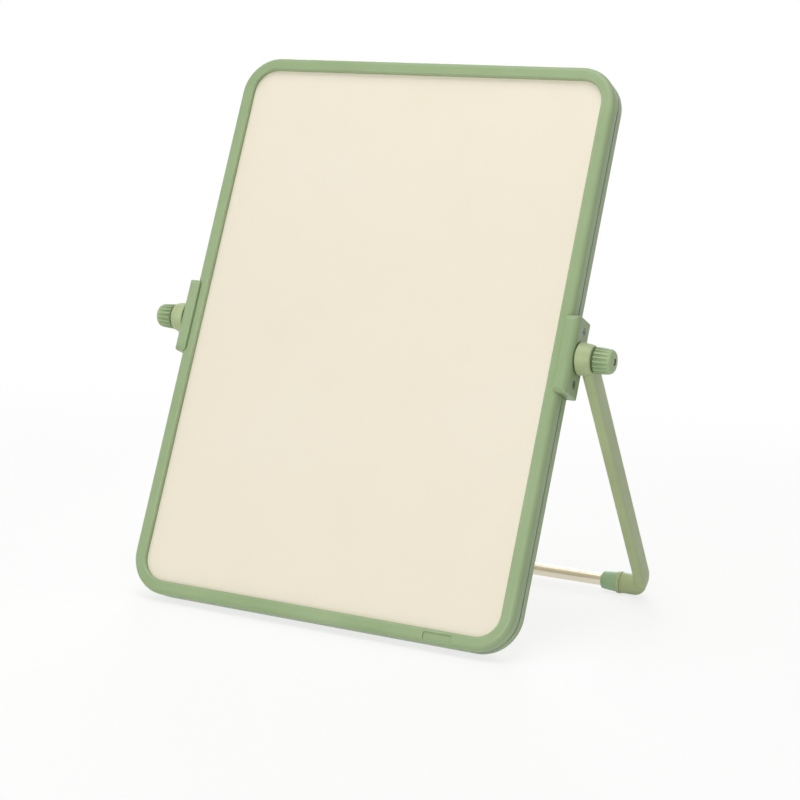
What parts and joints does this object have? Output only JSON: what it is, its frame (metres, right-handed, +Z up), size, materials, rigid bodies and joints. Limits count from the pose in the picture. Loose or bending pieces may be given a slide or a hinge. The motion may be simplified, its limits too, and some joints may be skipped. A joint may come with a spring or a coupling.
{
  "type": "double-sided magnetic whiteboard",
  "caption": "Desktop whiteboard in a rounded frame, turning between two clamp knobs in a folding U-shaped stand.",
  "frame": {"origin": "on the table under the middle of the object's box", "axes": "+Z up, +X to the right seen from the writing side, +Y away from it towards the stand's crossbar"},
  "size_m": [0.3066, 0.209, 0.3328],
  "materials": {
    "frame_plastic": "moulded, satin, sage green",
    "stand_plastic": "moulded, satin, sage green",
    "knob_plastic": "moulded, satin, sage green",
    "collar_plastic": "moulded, matt, sage green",
    "coated_steel": "smooth cream dry-wipe coating on steel",
    "core_board": "raw fibreboard, out of sight",
    "screw_steel": "zinc plated",
    "tube_steel": "drawn and lightly brushed",
    "insert_brass": "turned",
    "washer_rubber": "moulded, dark green"
  },
  "bodies": {
    "stand": {"crossbar_tube": "tube_steel", "leg_left": "stand_plastic", "collar_left": "collar_plastic", "friction_washer_left": "washer_rubber", "leg_right": "stand_plastic", "collar_right": "collar_plastic", "friction_washer_right": "washer_rubber"},
    "board": {"frame_front": "frame_plastic", "frame_rear": "frame_plastic", "writing_sheet_front": "coated_steel", "writing_sheet_rear": "coated_steel", "core_panel": "core_board", "bracket_left": "frame_plastic", "bracket_screws_left": "screw_steel", "pivot_bolt_left": "screw_steel", "bracket_right": "frame_plastic", "bracket_screws_right": "screw_steel", "pivot_bolt_right": "screw_steel"},
    "knob_left": {"knob_left": "knob_plastic", "knob_insert_left": "insert_brass", "knob_washer_left": "washer_rubber"},
    "knob_right": {"knob_right": "knob_plastic", "knob_insert_right": "insert_brass", "knob_washer_right": "washer_rubber"}
  },
  "joints": [
    {"name": "board_turn", "type": "hinge", "parent": "stand", "child": "board", "pos_m": [0, -0.03616, 0.16639], "axis": [1, 0, 0], "continuous": true},
    {"name": "knob_left_turn", "type": "hinge", "parent": "board", "child": "knob_left", "pos_m": [-0.147, -0.03616, 0.16639], "axis": [1, 0, 0], "range_deg": [0, 360]},
    {"name": "knob_right_turn", "type": "hinge", "parent": "board", "child": "knob_right", "pos_m": [0.147, -0.03616, 0.16639], "axis": [-1, 0, 0], "range_deg": [0, 360]}
  ]
}
